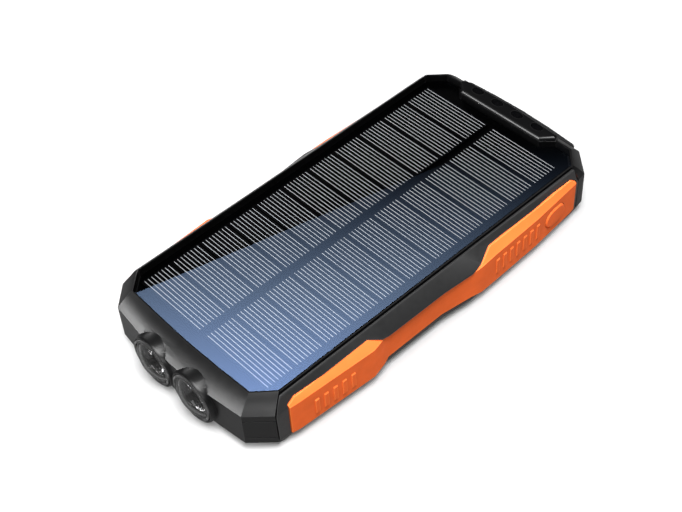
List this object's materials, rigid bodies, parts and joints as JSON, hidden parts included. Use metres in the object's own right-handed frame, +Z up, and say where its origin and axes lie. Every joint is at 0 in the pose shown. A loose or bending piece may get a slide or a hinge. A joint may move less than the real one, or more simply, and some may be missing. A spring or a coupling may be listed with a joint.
{
  "type": "solar phone charger",
  "caption": "Flat rugged solar power bank: glass solar panel on top, twin torches at one end, covered USB sockets at the other, orange side bumpers and a side power button.",
  "frame": {"origin": "centre of the flat underside the charger rests on, under the middle of its bounding box", "axes": "+X towards the power button side, +Y towards the socket end, +Z up through the solar panel"},
  "size_m": [0.0844, 0.1724, 0.0244],
  "materials": {
    "black_plastic": "fine moulded texture",
    "black_rubber": "soft satin",
    "orange_rubber": "soft satin",
    "solar_glass": "polished clear cover",
    "silicon": "dark blue-black solar cell",
    "board": "green circuit board",
    "clear_lens": "clear moulded lens",
    "bright_metal": "bright plated",
    "screw_steel": "zinc plated",
    "battery_wrap": "silver pouch foil",
    "white_diffuser": "translucent diffuser",
    "panel_laminate": "black laminate seen between the cells"
  },
  "bodies": {
    "charger": {"lower_case": "black_plastic", "panel_frame": "black_plastic", "front_cap": "black_plastic", "far_cap": "black_plastic", "side_rail_right": "black_rubber", "side_rail_left": "black_rubber", "bumper_right": "orange_rubber", "bumper_left": "orange_rubber", "cover_glass": "solar_glass", "panel_backing": "panel_laminate", "solar_cell_left_01": "silicon", "solar_cell_right_01": "silicon", "solar_cell_left_02": "silicon", "solar_cell_right_02": "silicon", "solar_cell_left_03": "silicon", "solar_cell_right_03": "silicon", "solar_cell_left_04": "silicon", "solar_cell_right_04": "silicon", "solar_cell_left_05": "silicon", "solar_cell_right_05": "silicon", "solar_cell_left_06": "silicon", "solar_cell_right_06": "silicon", "solar_cell_left_07": "silicon", "solar_cell_right_07": "silicon", "solar_cell_left_08": "silicon", "solar_cell_right_08": "silicon", "solar_cell_left_09": "silicon", "solar_cell_right_09": "silicon", "solar_cell_left_10": "silicon", "solar_cell_right_10": "silicon", "solar_cell_left_11": "silicon", "solar_cell_right_11": "silicon", "torch_lens_left": "clear_lens", "torch_reflector_left": "bright_metal", "torch_led_left": "board", "battery_left": "battery_wrap", "torch_lens_right": "clear_lens", "torch_reflector_right": "bright_metal", "torch_led_right": "board", "battery_right": "battery_wrap", "main_board": "board", "status_board": "board", "status_window_1": "white_diffuser", "status_window_2": "white_diffuser", "status_window_3": "white_diffuser", "status_window_4": "white_diffuser", "usb_a_socket_1": "bright_metal", "usb_a_socket_2": "bright_metal", "usb_c_socket": "bright_metal", "tact_switch": "screw_steel", "case_screw_1": "screw_steel", "case_screw_2": "screw_steel", "case_screw_3": "screw_steel", "case_screw_4": "screw_steel"},
    "power_button": {"power_button": "orange_rubber"},
    "port_cover": {"port_cover": "black_rubber"}
  },
  "joints": [
    {"name": "power_button_press", "type": "slide", "parent": "charger", "child": "power_button", "axis": [-1, 0, 0], "range_m": [0, 0.0005], "stiffness_N_per_m": 1500, "springref_m": -0.0005},
    {"name": "port_cover_hinge", "type": "hinge", "parent": "charger", "child": "port_cover", "pos_m": [0, 0.08225, 0.0064], "axis": [-1, 0, 0], "range_deg": [0, 90]}
  ]
}
